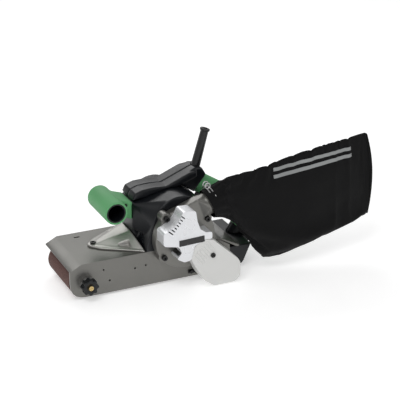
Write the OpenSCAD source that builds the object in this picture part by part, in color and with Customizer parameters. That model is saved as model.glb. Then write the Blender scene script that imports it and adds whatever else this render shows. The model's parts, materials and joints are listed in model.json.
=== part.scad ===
// Handheld belt sander with a dust bag, as an assembly of its real pieces.
// +X is the rear (dust bag), -Y the side with the drive-belt cover, +Z up.
// The origin is the centre of the sanding face, which is the belt's underside.

/* [Abrasive belt] */
// Width of the abrasive belt
belt_width = 100; // [75:1:120]
// Length round the abrasive belt
belt_length = 610; // [500:1:740]
// Thickness of the abrasive belt
belt_thickness = 1; // [0.8:0.1:1.4]

/* [Rollers] */
// Outside diameter of both rollers
roller_d = 52; // [48:1:58]
// Rubber thickness on the drive roller
lagging_t = 3; // [2:0.5:5]
// Diameter of the drive roller's shaft
drive_shaft_d = 12; // [10:1:14]
// Diameter of the idler roller's axle
idler_axle_d = 8; // [6:1:10]
// How far the idler roller draws back to free the belt
yoke_travel = 6; // [4:0.5:7]

/* [Frame] */
// Wall thickness of the near side panel
wall_t = 4; // [3:0.5:6]
// Thickness of the top plate
plate_t = 3; // [2:0.5:5]
// Room between the belt's upper run and the top plate
plate_gap = 4.4; // [3:0.2:8]
// Room between the belt's edge and the side panel's inner face
edge_room = 6; // [5:0.5:10]
// Forward reach of the nose ahead of the idler axle
nose_reach = 28; // [24:1:36]
// Height of the side panel's lower edge over the sanding face
panel_lift = 3.6; // [2:0.2:5]

/* [Motor and drive] */
// Distance of the motor shaft ahead of the drive shaft
motor_ahead = 57; // [52:1:62]
// Height of the motor shaft over the drive shaft
motor_rise = 72.7; // [70:0.1:80]
// Outside radius of the motor housing's barrel
barrel_r = 50; // [46:1:54]
// Wall thickness of the plastic housings
shell_t = 3; // [2:0.5:4]
// Teeth on the motor pulley
motor_teeth = 14; // [12:1:16]
// Teeth on the driven pulley
drive_teeth = 40; // [36:1:42]
// Pitch of the drive belt's teeth
tooth_pitch = 3; // [2.8:0.1:3.2]
// Diameter of the motor shaft
motor_shaft_d = 10; // [8:1:12]

/* [Dust path] */
// Outside radius of the fan housing
scroll_r = 52; // [48:1:56]
// Depth of the fan housing
scroll_depth = 18; // [14:1:24]
// Depth of the covers in front of the fan housing
cover_depth = 27; // [24:1:32]
// Outside diameter of the dust spout
spout_d = 38; // [32:1:42]
// Upward slope of the dust spout
spout_slope = 20; // [10:1:25]
// Length of the dust bag
bag_length = 305; // [240:5:360]
// Thickness of the dust bag across its middle
bag_depth = 44; // [30:1:56]

/* [Handles] */
// Outside diameter of the rear grip
grip_d = 34; // [30:1:36]
// Outside diameter of the front grip
front_grip_d = 39; // [34:1:44]
// Length of the front grip
front_grip_len = 82; // [70:1:110]
// Thickness of the soft grips
soft_t = 3.5; // [2.5:0.5:4.5]
// Width of the handle spine
spine_w = 48; // [40:1:56]
// Travel of the trigger
trigger_travel = 5; // [3:0.5:6]
// Outside diameter of the cord guard at its foot
guard_d = 16; // [14:0.5:20]
// Length of the cord guard
guard_len = 72; // [50:1:90]
// Diameter of the mains lead that the cord guard takes
lead_d = 9; // [7:0.5:10]

/* [Hidden] */
$fn = 48;

// Clearances
turn_gap = 0.05;     // a shaft in its bearing
face_gap = 0.3;      // faces of pieces that move past each other
slide_gap = 0.4;     // a sliding piece in its pocket

// Belt loop and roller axes
roller_r = roller_d / 2;
axle_z = roller_r + face_gap + belt_thickness;
loop_r = roller_r + face_gap;
wheelbase = (belt_length - PI * (2 * loop_r + belt_thickness)) / 2;
drive_x = wheelbase / 2;
idler_x = -wheelbase / 2;
roller_len = belt_width - 2;

// Frame planes
near_y = -(belt_width / 2 + edge_room + wall_t);
panel_y = near_y + wall_t;
far_y = -near_y;
top_z = 2 * axle_z + plate_gap + plate_t;
plate_under = top_z - plate_t;
nose_x = idler_x - nose_reach;
nose_run = 20;
nose_drop = 10.3;
hood_x = drive_x + 8;
panel_rear = drive_x + 32;

// Yoke crossbar behind the idler roller, and the spring's room behind it
yoke_bar_front = idler_x + roller_r + 3;
yoke_bar_rear = yoke_bar_front + 9;
spring_room = 9;

// Platform beam inside the belt loop
beam_front = yoke_bar_rear + yoke_travel + spring_room;
beam_rear = drive_x - 31;
beam_far = belt_width / 2 - 2;
beam_wall = 4;
pad_t = 3;
steel_t = 1.2;
plate_low = belt_thickness + face_gap;
beam_low = plate_low + steel_t + pad_t;
beam_high = 2 * axle_z - belt_thickness - 5;

// Motor and fan
motor_x = drive_x - motor_ahead;
motor_z = axle_z + motor_rise;
scroll_x = motor_x;
scroll_z = motor_z - 15.7;
scroll_far = near_y - 2;
scroll_near = scroll_far - scroll_depth;
cover_y = scroll_near - cover_depth;
shaft_r = motor_shaft_d / 2;
bearing_r = shaft_r + 8;
bearing_w = 8;
stator_r = motor_z - top_z - shell_t - 0.5;
core_r = stator_r * 0.58;
air_gap = 0.6;
core_len = 46;
core_y = -8;

// Drive belt loop
motor_pitch_r = motor_teeth * tooth_pitch / (2 * PI);
drive_pitch_r = drive_teeth * tooth_pitch / (2 * PI);
drive_belt_t = 1.4;
drive_belt_w = 9;
drive_belt_y = cover_y + 8;
drive_bearing_r = drive_shaft_d / 2 + 9;
drive_bearing_w = 9;
boss_near = scroll_near - 4;

// Dust spout: its outer side continues the volute's rim, and its axis starts at the exit
spout_y = (scroll_far + scroll_near) / 2;
spout_r = spout_d / 2;
spout_t = 2.2;
spout_len = 31;
taper_len = 11;
exit_run = 43;
rim_side = [-sin(spout_slope), cos(spout_slope)];
air_way = [cos(spout_slope), sin(spout_slope)];
exit_spot = [scroll_x, scroll_z] + (scroll_r - spout_r - 0.4) * rim_side + exit_run * air_way;
exit_x = exit_spot[0];
exit_z = exit_spot[1];

// Motor housing and handle
foot_front = motor_x - 62;
foot_rear = motor_x + 54;
housing_near = scroll_far;
housing_far = far_y - 6;
cap_t = 7;
core_half = 26;
spine_half = spine_w / 2;
// behind the handle the housing is drawn in
waist_y = spine_half + 4;
far_inset = 5.5;
far_r = barrel_r - far_inset;
neck_half = grip_d / 2 + 1;
grip_start = [motor_x + 56, motor_z + 44.5];
grip_slope = 32.5;
grip_run = 121;
grip_axis = [cos(grip_slope), -sin(grip_slope)];
grip_base = grip_start - 8 * grip_axis;
grip_corner = grip_start + grip_run * grip_axis;
shroud_top = axle_z + 13.7;
leg_foot = [drive_x + 73, shroud_top];
leg_axis = (grip_corner - leg_foot) / norm(grip_corner - leg_foot);
leg_collar = leg_foot + 14 * leg_axis;
guard_foot = [motor_x + 51.5, motor_z + 66];
guard_lean = 16;
core_points = [
    [motor_x - 66, motor_z + 36], [motor_x - 20, motor_z + 47], [motor_x, motor_z],
    [foot_front + 12, top_z], [foot_front, top_z], [foot_front - 8, motor_z - 14],
    [foot_front - 7, motor_z + 34]
];
// solid shoulder of the housing under the rear of the handle
shoulder_points = [
    [motor_x, motor_z], [motor_x + 45, motor_z + 16], [motor_x + 41.5, motor_z + 32.5],
    [motor_x + 21.5, motor_z + 46.6], [motor_x + 8, motor_z + 47]
];

// Front handle
front_x = motor_x - 104;
front_z = motor_z + 31;
front_near = -front_grip_len / 2 - 3;
front_far = front_near + front_grip_len;

// Tracking knob
knob_r = 14;
knob_w = 13;
collar_w = 5;
tracking_r = 4;

// Yoke stem, nose bracket and the holes of the frame
yoke_stem_half = 9;
stem_z_half = 7;
bracket_tip = motor_x - 138;
panel_holes = [[idler_x + 29, axle_z + 18], [idler_x + 83, axle_z + 10.4],
    [idler_x + 39, axle_z - 2.3], [motor_x - 62, axle_z + 12]];
plate_screw_spots = [for (x = [beam_front + 10, beam_rear - 10], y = [-32, 32]) [x, y]];

// Commutator, brushes and fan
commutator_y = housing_far - 30;
commutator_r = 11;
brush_y = commutator_y + 8;
brush_far = commutator_r + 20;
fan_y = scroll_near + 5;
fan_w = 10;
fan_r = 31;

// Screw lugs of the fan housing
lug_spots = [
    [scroll_x - 34, scroll_z + 40], [scroll_x - 38, scroll_z - 27.5], [scroll_x + 38, scroll_z + 27.5]
];

// Covers: the star over the fan and the one over the drive belt
cover_t = 2.5;
star_points = [
    [motor_x - 16, motor_z + 43], [motor_x + 6, motor_z + 41.5], [motor_x + 9, motor_z + 22],
    [motor_x + 14, motor_z + 8], [motor_x + 24, motor_z + 0.5], [motor_x + 35, motor_z + 0.5],
    [motor_x + 35, motor_z - 13], [motor_x + 24, motor_z - 11], [motor_x + 4, motor_z - 19.5],
    [motor_x - 1.8, motor_z - 43.6], [motor_x - 14, motor_z - 45], [motor_x - 28, motor_z - 37],
    [motor_x - 17.5, motor_z - 29], [motor_x - 24, motor_z - 16.5], [motor_x - 50, motor_z - 11],
    [motor_x - 50, motor_z + 11], [motor_x - 42, motor_z + 13.5], [motor_x - 30, motor_z + 21],
    [motor_x - 21, motor_z + 32]
];
cover_points = [
    [motor_x - 1.8, motor_z - 43.9], [motor_x + 4.3, motor_z - 19.8], [motor_x + 24, motor_z - 11.3],
    [motor_x + 37, motor_z - 15], [drive_x + 24, axle_z + 17], [drive_x + 29, axle_z + 8.5],
    [drive_x + 29, axle_z - 16], [drive_x + 20, axle_z - 24.8], [drive_x - 18, axle_z - 24.8],
    [drive_x - 35, axle_z - 12.8]
];

// Idler bearings, yoke arms and tension lever
idler_bearing_r = idler_axle_d / 2 + 7;
idler_bearing_w = 7;
arm_t = 5;
arm_in = roller_len / 2 + 0.5;
lever_x = beam_front + 14;
lever_y = arm_in + arm_t + 3;
lever_low = axle_z - 12;
lever_pin_len = 24;

// Outlines of the handle body over the motor housing: its full height, and its wide spine
handle_points = [
    [motor_x - 69, motor_z + 39.5], [motor_x - 63.5, motor_z + 50.5], [motor_x - 50, motor_z + 55],
    [motor_x - 30, motor_z + 56], [motor_x - 8, motor_z + 54.5], [motor_x + 13, motor_z + 63],
    [motor_x + 33, motor_z + 71], [motor_x + 46, motor_z + 76], [motor_x + 58, motor_z + 74],
    [motor_x + 65.5, motor_z + 61], [motor_x + 43, motor_z + 33.5], [motor_x + 20, motor_z + 49],
    [motor_x - 20, motor_z + 47], [motor_x - 66, motor_z + 36]
];
spine_points = [
    [motor_x - 69, motor_z + 39.5], [motor_x - 63.5, motor_z + 50.5], [motor_x - 50, motor_z + 55],
    [motor_x - 30, motor_z + 56], [motor_x - 8, motor_z + 54.5], [motor_x + 13, motor_z + 63],
    [motor_x + 33, motor_z + 71], [motor_x + 46, motor_z + 72], [motor_x + 46, motor_z + 62],
    [motor_x + 14, motor_z + 51], [motor_x - 18, motor_z + 44], [motor_x - 66, motor_z + 39]
];

// Trigger, lock button and speed dial
trigger_from = 12;
trigger_len = 30;
trigger_half = 6;
button_spot = [motor_x + 33, motor_z + 60];
button_r = 5;
button_deep = 8;
dial_spot = [motor_x + 45, motor_z + 50];

// Bag collar and dust bag
collar_from = 16;
collar_len = 16;
collar_r = spout_r + 3.2;
bag_neck_r = collar_r + 2.4;
bag_x = exit_x + 14;
bag_z = exit_z + 7.7;
bag_y = spout_y - 4;
bag_rear = bag_x + bag_length;
bag_edge = 5;

// Side outline of the bag's pouch, clockwise from the top of its neck
pouch_points = [
    [bag_x + 38, bag_z + 40], [bag_x + 90, bag_z + 43], [bag_rear - 80, bag_z + 67],
    [bag_rear - 22, bag_z + 78], [bag_rear - 9, bag_z + 60], [bag_rear + 2, bag_z - 10],
    [bag_rear + 5, bag_z - 45], [bag_rear - 4, bag_z - 67], [bag_rear - 22, bag_z - 76],
    [bag_rear - 100, bag_z - 96], [bag_x + 114, bag_z - 116], [bag_x + 101, bag_z - 117],
    [bag_x + 88, bag_z - 108], [bag_x + 46, bag_z - 43]
];
pouch_middle = [(bag_x + 46 + bag_rear) / 2, bag_z - 16];

// ---------- helpers ----------

// Turns a drawing in the X-Z plane into a slab from y = y0 to y = y1
module slab(y0, y1) {
    translate([0, y1, 0])
        rotate([90, 0, 0])
            linear_extrude(height = y1 - y0)
                children();
}

// Round bar along Y from y0 to y1
module bar_y(x, z, r, y0, y1) {
    translate([x, y0, z])
        rotate([-90, 0, 0])
            cylinder(r = r, h = y1 - y0);
}

// Ring along Y from y0 to y1
module ring_y(x, z, outer, inner, y0, y1) {
    difference() {
        bar_y(x, z, outer, y0, y1);
        bar_y(x, z, inner, y0 - 1, y1 + 1);
    }
}

// Round bar in the plane y = const between two X-Z points
module strut(a, b, y, r) {
    run = b - a;
    translate([a[0], y, a[1]])
        rotate([0, atan2(run[0], run[1]), 0])
            cylinder(r = r, h = norm(run));
}

// Box given by its two corners
module block(low, high) {
    translate(low)
        cube(high - low);
}

// An outline whose corners are rounded to radius r where the sides allow it
function corner_arc(before, at, after, r) =
    let (
        u = (before - at) / norm(before - at),
        v = (after - at) / norm(after - at),
        half = acos(max(-1, min(1, u * v))) / 2,
        cut = min(r / tan(half), 0.45 * norm(before - at), 0.45 * norm(after - at)),
        start = at + u * cut,
        end = at + v * cut
    )
    [for (i = [0 : 5])
        let (t = i / 5)
        (1 - t) * (1 - t) * start + 2 * t * (1 - t) * at + t * t * end];

function rounded(points, r) =
    let (n = len(points))
    [for (i = [0 : n - 1])
        each corner_arc(points[(i + n - 1) % n], points[i], points[(i + 1) % n], r)];

// Two circles and the area between their common outer tangents
module belt_outline(a, ra, b, rb) {
    run = b - a;
    reach = norm(run);
    heading = atan2(run[1], run[0]);
    lean = acos((ra - rb) / reach);
    function edge(p, r, side) =
        p + r * [cos(heading + side * lean), sin(heading + side * lean)];
    translate(a)
        circle(r = ra);
    translate(b)
        circle(r = rb);
    polygon([edge(a, ra, 1), edge(b, rb, 1), edge(b, rb, -1), edge(a, ra, -1)]);
}

// Toothed wheel outline with n teeth
module toothed_outline(n, r, depth) {
    polygon([for (i = [0 : 4 * n - 1])
        let (
            angle = 360 * (i + 0.5) / (4 * n),
            reach = (i % 4 < 2) ? r : r - depth
        )
        reach * [cos(angle), sin(angle)]]);
}

// Puts its children in the grip's own frame: X along the grip, Z across it
module in_grip() {
    translate([grip_start[0], 0, grip_start[1]])
        rotate([0, grip_slope, 0])
            children();
}

// Puts its children on the spout's axis, Z along the air flow
module on_spout() {
    translate([exit_x, spout_y, exit_z])
        rotate([0, 90 - spout_slope, 0])
            children();
}

// Hexagon socket screw with its head at the origin, pointing along -Z
module cap_screw(head_r, head_h, shank_r, shank_l) {
    difference() {
        cylinder(r = head_r, h = head_h);
        translate([0, 0, head_h * 0.45])
            cylinder(r = head_r * 0.5, h = head_h, $fn = 6);
    }
    translate([0, 0, -shank_l])
        cylinder(r = shank_r, h = shank_l);
}

// Ball bearing along Y, as inner race, outer race and balls in one closed piece
module bearing_y(x, z, outer, inner, y0, w) {
    groove = (outer - inner) * 0.16;
    difference() {
        ring_y(x, z, outer, inner, y0, y0 + w);
        for (side = [y0 - 1, y0 + w - 1])
            ring_y(x, z, (outer + inner) / 2 + groove, (outer + inner) / 2 - groove,
                side, side + 2);
    }
}

// ---------- frame ----------

module panel_outline() {
    polygon(concat(
        [[nose_x + nose_run, top_z], [nose_x, top_z - nose_drop]],
        corner_arc([nose_x, top_z], [nose_x, panel_lift], [0, panel_lift], 26),
        [[panel_rear, panel_lift], [panel_rear, axle_z + 20], [hood_x + 6, plate_under - 0.3],
            [hood_x, plate_under], [hood_x, top_z]]
    ));
}

module frame() {
    color("darkgray")
        difference() {
            union() {
                slab(near_y, panel_y)
                    panel_outline();
                slab(near_y, far_y)
                    polygon([
                        [nose_x + nose_run, top_z], [hood_x, top_z],
                        [hood_x, plate_under], [nose_x + nose_run + 1, plate_under],
                        [nose_x + plate_t / 2, top_z - nose_drop - plate_t],
                        [nose_x, top_z - nose_drop]
                    ]);
                // platform beam
                block([beam_front, panel_y, beam_low], [beam_rear, beam_far, beam_high]);
                // ears that hold the lever's pin
                for (low = [lever_low, axle_z + 6.5])
                    block([beam_front, beam_far - 6, low], [lever_x + 6, lever_y + 4, low + 5.5]);
                // bearing boss of the drive shaft
                bar_y(drive_x, axle_z, drive_bearing_r + 4, boss_near, near_y);
                // tracking screw boss
                bar_y(idler_x, axle_z, tracking_r + 3, near_y - 0.5, near_y);
            }
            // hollow of the beam, open to the far side
            block([beam_front + beam_wall, panel_y + beam_wall, beam_low + 8 + beam_wall],
                [beam_rear - beam_wall, beam_far + 1, beam_high - beam_wall]);
            // slot for the yoke's stem
            block([beam_front - 1, -yoke_stem_half - slide_gap, axle_z - stem_z_half - slide_gap],
                [beam_front + beam_wall + 1, yoke_stem_half + slide_gap,
                    axle_z + stem_z_half + slide_gap]);
            // drive bearing seat and shaft hole
            bar_y(drive_x, axle_z, drive_bearing_r, boss_near - 1, boss_near + drive_bearing_w);
            bar_y(drive_x, axle_z, drive_bearing_r, panel_y - drive_bearing_w, panel_y + 1);
            bar_y(drive_x, axle_z, drive_shaft_d / 2 + 3, boss_near - 1, panel_y + 1);
            // tracking screw hole
            bar_y(idler_x, axle_z, tracking_r + turn_gap, near_y - 2, panel_y + 1);
            // small holes in the side panel
            for (hole = panel_holes)
                bar_y(hole[0], hole[1], 1.6, near_y - 1, panel_y + 1);
            // slot in the top plate
            block([idler_x + 16, far_y - 20, plate_under - 1], [idler_x + 26, far_y - 16, top_z + 1]);
            // seats of the bracket screw, the plate screws and the lever pin
            translate([bracket_tip + 8, 0, plate_under - 1])
                cylinder(r = 2.5, h = plate_t + 2);
            for (spot = plate_screw_spots)
                translate([spot[0], spot[1], beam_low - 1])
                    cylinder(r = 2, h = 9);
            translate([lever_x, lever_y, lever_low])
                cylinder(r = 3, h = lever_pin_len);
        }
}

module rear_hood() {
    rear = drive_x + 50;
    color("darkgray")
        slab(near_y, far_y - 4)
            polygon([
                [hood_x, top_z], [hood_x + 8, top_z], [rear, shroud_top + plate_t],
                [rear, shroud_top], [rear - 5, shroud_top],
                [hood_x + 6, plate_under], [hood_x, plate_under]
            ]);
}

module rear_shroud() {
    front = panel_rear;
    low = panel_lift + 3;
    color("#202226")
        difference() {
            union() {
                slab(near_y + 3, far_y - 5)
                    polygon([
                        [front, shroud_top], [drive_x + 73, shroud_top],
                        [drive_x + 60, low + 5], [drive_x + 56, low], [front, low]
                    ]);
                // heel that carries the handle's lower end
                slab(-24, 24)
                    polygon([
                        [drive_x + 50, shroud_top], [drive_x + 95, shroud_top],
                        [drive_x + 72, low + 8], [drive_x + 50, low + 8]
                    ]);
            }
            // suction mouth towards the drive roller
            slab(near_y + 3 + shell_t, far_y - 5 - shell_t)
                polygon([
                    [front - 1, shroud_top - shell_t], [drive_x + 66, shroud_top - shell_t],
                    [drive_x + 57, low + shell_t], [front - 1, low + shell_t]
                ]);
        }
}

module nose_bracket() {
    apex_x = foot_front - 9;
    apex_z = motor_z - 15;
    half = -near_y - 1;
    flank = 17;
    color("silver")
        difference() {
            union() {
                hull() {
                    translate([bracket_tip + 8, 0, top_z])
                        cylinder(r = 9, h = 4, $fn = 32);
                    translate([bracket_tip + 30, 0, top_z])
                        cylinder(r = 26, h = 3, $fn = 32);
                    block([foot_front - 2, -half, top_z], [foot_front - 0.5, half, top_z + 3]);
                }
                hull() {
                    translate([bracket_tip + 14, 0, top_z + 3])
                        cylinder(r = 7, h = 1, $fn = 32);
                    block([apex_x - 1, -flank, apex_z - 1], [apex_x + 0.5, flank, apex_z]);
                    block([foot_front - 2, -half + 4, top_z + 3],
                        [foot_front - 0.5, half - 4, top_z + 4]);
                }
            }
            slab(-core_half, core_half)
                polygon(core_points);
            // pockets in both flanks
            for (side = [-1, 1])
                hull() {
                    translate([bracket_tip + 44, side * 27, top_z + 3])
                        cylinder(r = 1.5, h = 16, $fn = 32);
                    translate([apex_x - 9, side * 30, top_z + 3])
                        cylinder(r = 1.5, h = 22, $fn = 32);
                    translate([apex_x - 9, side * 48, top_z + 3])
                        cylinder(r = 1.5, h = 16, $fn = 32);
                }
            // screw hole, and room for its head
            translate([bracket_tip + 8, 0, top_z - 1])
                cylinder(r = 2.5, h = 10);
            translate([bracket_tip + 8, 0, top_z + 4])
                cylinder(r = 4.5 + face_gap, h = 12);
        }
}

module bracket_screw() {
    color("dimgray")
        translate([bracket_tip + 8, 0, top_z + 4])
            cap_screw(4.5, 3, 2.5, plate_t + 4);
}

module cork_pad() {
    color("peru")
        difference() {
            block([beam_front, -belt_width / 2 + 3, plate_low + steel_t],
                [beam_rear, beam_far, beam_low]);
            for (spot = plate_screw_spots)
                translate([spot[0], spot[1], 0])
                    cylinder(r = 2, h = 9);
        }
}

module sanding_plate() {
    color("lightsteelblue")
        difference() {
            union() {
                block([beam_front - 6, -belt_width / 2 + 3, plate_low],
                    [beam_rear + 4, beam_far, plate_low + steel_t]);
                // turned-up leading edge
                block([beam_front - 6, -belt_width / 2 + 3, plate_low],
                    [beam_front - 6 + steel_t, beam_far, plate_low + 5]);
            }
            for (spot = plate_screw_spots)
                translate([spot[0], spot[1], 0])
                    cylinder(r = 2, h = 9);
        }
}

module plate_screws() {
    color("silver")
        for (spot = plate_screw_spots)
            translate([spot[0], spot[1], plate_low + 0.1])
                cylinder(r = 2, h = beam_low + 7.5 - plate_low);
}

// ---------- belt loop ----------

module abrasive_belt() {
    front = [idler_x, axle_z];
    rear = [drive_x, axle_z];
    color("#5a3530")
        difference() {
            slab(-belt_width / 2, belt_width / 2)
                belt_outline(front, loop_r + belt_thickness, rear, loop_r + belt_thickness);
            slab(-belt_width / 2 - 1, belt_width / 2 + 1)
                belt_outline(front, loop_r, rear, loop_r);
        }
}

module drive_roller() {
    color("silver")
        difference() {
            bar_y(drive_x, axle_z, roller_r - lagging_t, -roller_len / 2, roller_len / 2);
            bar_y(drive_x, axle_z, drive_shaft_d / 2, -roller_len / 2 - 1, roller_len / 2 + 1);
            ring_y(drive_x, axle_z, roller_r - lagging_t - 4, drive_shaft_d / 2 + 5,
                roller_len / 2 - 12, roller_len / 2 + 1);
        }
}

module roller_lagging() {
    color("#303030")
        ring_y(drive_x, axle_z, roller_r, roller_r - lagging_t, -roller_len / 2, roller_len / 2);
}

module drive_shaft() {
    color("lightgray")
        union() {
            bar_y(drive_x, axle_z, drive_shaft_d / 2 - turn_gap, cover_y + 4, -roller_len / 2);
            bar_y(drive_x, axle_z, drive_shaft_d / 2, -roller_len / 2, roller_len / 2 - 2);
        }
}

module drive_bearings() {
    color("gainsboro")
        for (start = [boss_near, panel_y - drive_bearing_w])
            bearing_y(drive_x, axle_z, drive_bearing_r, drive_shaft_d / 2, start, drive_bearing_w);
}

module pulley(x, z, teeth, pitch_r, bore_r, y0, w) {
    rim = pitch_r - face_gap;
    difference() {
        slab(y0, y0 + w)
            translate([x, z])
                toothed_outline(teeth, rim, 1);
        bar_y(x, z, bore_r, y0 - 1, y0 + w + 1);
    }
}

module driven_pulley() {
    color("dimgray")
        difference() {
            pulley(drive_x, axle_z, drive_teeth, drive_pitch_r, drive_shaft_d / 2 - turn_gap,
                drive_belt_y - 1, drive_belt_w + 2);
            for (a = [0 : 60 : 300])
                bar_y(drive_x + 12 * cos(a), axle_z + 12 * sin(a), 3,
                    drive_belt_y - 2, drive_belt_y + drive_belt_w + 2);
        }
}

module pulley_nut() {
    color("silver")
        difference() {
            translate([drive_x, drive_belt_y - 1, axle_z])
                rotate([90, 0, 0])
                    cylinder(r = 9, h = 3, $fn = 6);
            bar_y(drive_x, axle_z, drive_shaft_d / 2 - turn_gap, cover_y, drive_belt_y);
        }
}

module drive_belt() {
    motor = [motor_x, motor_z];
    drive = [drive_x, axle_z];
    color("#1b1b1b")
        difference() {
            slab(drive_belt_y, drive_belt_y + drive_belt_w)
                belt_outline(motor, motor_pitch_r + drive_belt_t, drive,
                    drive_pitch_r + drive_belt_t);
            slab(drive_belt_y - 1, drive_belt_y + drive_belt_w + 1)
                belt_outline(motor, motor_pitch_r, drive, drive_pitch_r);
        }
}

module motor_pulley() {
    color("dimgray")
        pulley(motor_x, motor_z, motor_teeth, motor_pitch_r, 3,
            drive_belt_y - 1, drive_belt_w + 2);
}

// ---------- motor ----------

module armature_shaft() {
    color("lightgray")
        union() {
            bar_y(motor_x, motor_z, shaft_r - turn_gap, drive_belt_y + drive_belt_w + 1,
                housing_far + 3);
            bar_y(motor_x, motor_z, 3, drive_belt_y - 2, drive_belt_y + drive_belt_w + 1);
        }
}

module armature_core() {
    color("slategray")
        difference() {
            slab(core_y - core_len / 2, core_y + core_len / 2)
                translate([motor_x, motor_z])
                    toothed_outline(12, core_r - air_gap, 2);
            bar_y(motor_x, motor_z, shaft_r - turn_gap, -100, 100);
        }
}

module end_windings() {
    near_end = core_y - core_len / 2;
    far_end = core_y + core_len / 2;
    color("chocolate")
        for (span = [[near_end - 8, near_end], [far_end, far_end + 6]])
            ring_y(motor_x, motor_z, core_r - 4, shaft_r - turn_gap, span[0], span[1]);
}

module commutator() {
    color("sandybrown")
        difference() {
            slab(commutator_y, commutator_y + 16)
                translate([motor_x, motor_z])
                    toothed_outline(24, commutator_r, 0.5);
            bar_y(motor_x, motor_z, shaft_r - turn_gap, commutator_y - 1, commutator_y + 17);
        }
}

module dust_fan() {
    color("gray")
        difference() {
            union() {
                bar_y(motor_x, motor_z, fan_r, fan_y + fan_w - 2, fan_y + fan_w);
                bar_y(motor_x, motor_z, shaft_r + 4, fan_y, fan_y + fan_w);
                for (a = [0 : 40 : 320])
                    translate([motor_x, fan_y, motor_z])
                        rotate([0, a, 0])
                            cube([fan_r - 1, fan_w - 1, 1.6]);
            }
            bar_y(motor_x, motor_z, shaft_r - turn_gap, fan_y - 1, fan_y + fan_w + 1);
        }
}

module motor_bearings() {
    color("gainsboro") {
        bearing_y(motor_x, motor_z, bearing_r, shaft_r, scroll_near - 4, bearing_w);
        bearing_y(motor_x, motor_z, bearing_r, shaft_r, housing_far - 4, bearing_w);
    }
}

module stator_core() {
    color("slategray")
        ring_y(motor_x, motor_z, stator_r, core_r, core_y - core_len / 2, core_y + core_len / 2);
}

module field_coils() {
    near_end = core_y - core_len / 2;
    far_end = core_y + core_len / 2;
    color("chocolate")
        for (span = [[near_end - 10, near_end], [far_end, far_end + 8]])
            ring_y(motor_x, motor_z, stator_r - 3, core_r + 1, span[0], span[1]);
}

module carbon_brushes() {
    color("#303030")
        for (side = [-1, 1])
            block([motor_x + min(side * (commutator_r + face_gap), side * brush_far),
                    brush_y - 4, motor_z - 4],
                [motor_x + max(side * (commutator_r + face_gap), side * brush_far),
                    brush_y + 4, motor_z + 4]);
}

module brush_caps() {
    color("#202020")
        for (side = [-1, 1])
            translate([motor_x + side * (far_r + 1.5), brush_y, motor_z])
                rotate([0, -side * 90, 0])
                    difference() {
                        cylinder(r = 7.5, h = far_r + 1.5 - brush_far + 4);
                        translate([-5, -0.7, -1])
                            cube([10, 1.4, 2]);
                        translate([0, 0, 5])
                            cylinder(r = 5.7, h = barrel_r);
                    }
}

// Tunnel-shaped outline of the motor housing, grown or shrunk by `grow`
module tunnel_outline(grow, floor) {
    r = barrel_r + grow;
    front = foot_front + 1 - grow;
    rear = foot_rear - 2 + grow;
    function knee(angle) = [motor_x, motor_z] + (r - 0.8) * [cos(angle), sin(angle)];
    intersection() {
        union() {
            translate([motor_x, motor_z])
                circle(r = r);
            polygon([[front, top_z - 5], [front, top_z + 10], knee(160), knee(20),
                [rear, top_z + 10], [rear, top_z - 5]]);
        }
        translate([foot_front - 20, floor])
            square([foot_rear - foot_front + 40, 200]);
    }
}

// Sloping flank from the block under the handle out to the barrel's near end
module housing_flank() {
    difference() {
        hull() {
            slab(-core_half, -core_half + 1)
                polygon([[motor_x - 66, motor_z + 36], [motor_x - 20, motor_z + 47], [motor_x, motor_z],
                    [foot_front - 7, motor_z - 8], [foot_front - 7, motor_z + 34]]);
            translate([motor_x, housing_near, motor_z])
                rotate([-90, 0, 0])
                    cylinder(r = barrel_r - 1.5, h = 1, $fn = 64);
        }
        slab(housing_near - 1, -core_half + 2)
            tunnel_outline(-1, top_z);
        block([motor_x - 90, housing_near - 1, 0], [motor_x + 90, 0, top_z + 7]);
        handle_body();
    }
}

module motor_housing() {
    color("#202226")
        difference() {
            union() {
                slab(housing_near, waist_y)
                    tunnel_outline(0, top_z);
                slab(waist_y, housing_far)
                    tunnel_outline(-far_inset, top_z);
                // block that carries the front handle
                slab(-core_half, core_half)
                    polygon(core_points);
                slab(-core_half, core_half)
                    polygon(shoulder_points);
                housing_flank();
            }
            slab(near_y + 1, waist_y - shell_t)
                tunnel_outline(-shell_t, top_z + shell_t);
            slab(waist_y - shell_t - 1, housing_far + 1)
                tunnel_outline(-shell_t - far_inset, top_z + shell_t);
            bar_y(motor_x, motor_z, bearing_r + 6, housing_near - 1, near_y + 2);
            // seats of the brush caps
            for (side = [-1, 1])
                translate([motor_x + side * (far_r - shell_t - 4), brush_y, motor_z])
                    rotate([0, side * 90, 0])
                        cylinder(r = 7.5, h = 20);
            // recess for the dust spout
            on_spout()
                translate([0, 0, -3])
                    cylinder(r = spout_r + 2 * face_gap, h = spout_len + 3);
        }
}

module end_cap() {
    color("#202226")
        difference() {
            union() {
                slab(housing_far, housing_far + cap_t)
                    tunnel_outline(-far_inset - 2, top_z);
                bar_y(motor_x, motor_z, bearing_r + 3, housing_far - 5, housing_far + 1);
            }
            bar_y(motor_x, motor_z, bearing_r, housing_far - 6, housing_far + 4);
            // cooling slots
            for (row = [-2 : 2], side = [-1, 1])
                if (row != 0)
                    block([motor_x + side * 29 - 9, housing_far - 1, motor_z + row * 8 - 1.5],
                        [motor_x + side * 29 + 9, housing_far + cap_t + 1, motor_z + row * 8 + 1.5]);
        }
}

// ---------- dust path and covers ----------

// The volute's outline with its tangential exit; `inset` shrinks it by the wall
module scroll_outline(inset) {
    across = (spout_r - inset) * rim_side;
    translate([scroll_x, scroll_z])
        circle(r = scroll_r - inset);
    polygon([exit_spot + across, exit_spot - across, [scroll_x + 20, scroll_z + 10],
        [scroll_x - 20, scroll_z + 20], exit_spot + across - exit_run * air_way]);
}

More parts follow.
